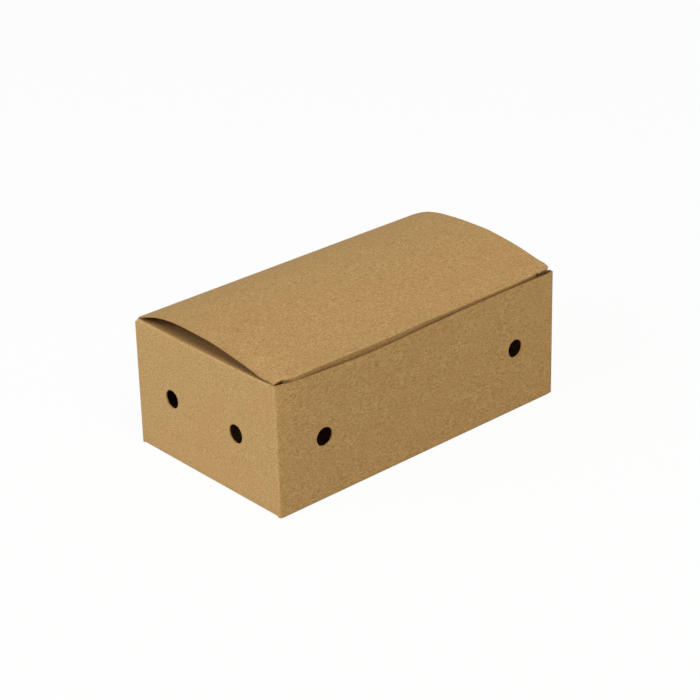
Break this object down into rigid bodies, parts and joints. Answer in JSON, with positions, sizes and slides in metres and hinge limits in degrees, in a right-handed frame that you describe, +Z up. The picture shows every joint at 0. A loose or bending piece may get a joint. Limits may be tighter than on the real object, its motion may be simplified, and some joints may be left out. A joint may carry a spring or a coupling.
{
  "type": "folded card carton",
  "caption": "Small rectangular kraft board food carton with an arched lid hinged along the rear top edge, a tuck flap at the front and round vent holes in its walls.",
  "frame": {"origin": "centre of the carton's base, on the table", "axes": "+Z up; -Y out through the front wall, where the lid tucks in; +X towards the right end as seen from the front"},
  "size_m": [0.12, 0.07, 0.0517],
  "materials": {
    "kraft_board": "matt, uncoated"
  },
  "bodies": {
    "carton": {"carton": "kraft_board"},
    "lid": {"lid": "kraft_board"}
  },
  "joints": [
    {"name": "lid_hinge", "type": "hinge", "parent": "carton", "child": "lid", "pos_m": [0, 0.03478, 0.0449], "axis": [-1, 0, 0], "range_deg": [0, 135]}
  ]
}
